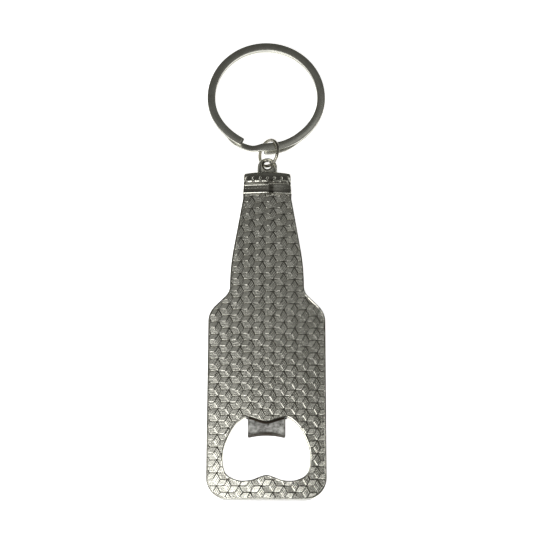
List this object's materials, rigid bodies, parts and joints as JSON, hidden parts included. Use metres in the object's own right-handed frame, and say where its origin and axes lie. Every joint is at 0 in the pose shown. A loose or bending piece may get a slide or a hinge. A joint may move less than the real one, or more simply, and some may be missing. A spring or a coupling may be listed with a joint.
{
  "type": "keychain bottle opener",
  "caption": "Flat metal bottle opener shaped like a beer bottle, with a steel prying tooth, a jump ring and a split key ring.",
  "frame": {"origin": "middle of the bottle's flat back, halfway between its base and the top of its crown cap", "axes": "+Z out of the patterned front, +Y from the base towards the cap and the key ring, +X to the right seen from the front"},
  "size_m": [0.035, 0.1364, 0.0069],
  "materials": {
    "plated_zinc": "gunmetal nickel plated die casting, satin",
    "pressed_steel": "matt tumbled steel",
    "plated_wire": "bright nickel plated",
    "spring_wire": "bright nickel plated spring steel"
  },
  "bodies": {
    "opener": {"bottle_body": "plated_zinc", "opener_tooth": "pressed_steel"},
    "jump_link": {"jump_ring": "plated_wire"},
    "key_ring": {"split_ring": "spring_wire"}
  },
  "joints": [
    {"name": "jump_ring_turn", "type": "hinge", "parent": "opener", "child": "jump_link", "pos_m": [0, 0.0501, 0.00305], "axis": [0, 1, 0], "range_deg": [-84, 4]},
    {"name": "split_ring_swing", "type": "hinge", "parent": "jump_link", "child": "key_ring", "pos_m": [0.00042, 0.0551, 0.0035], "axis": [1, 0, 0], "range_deg": [-150, 150]}
  ]
}
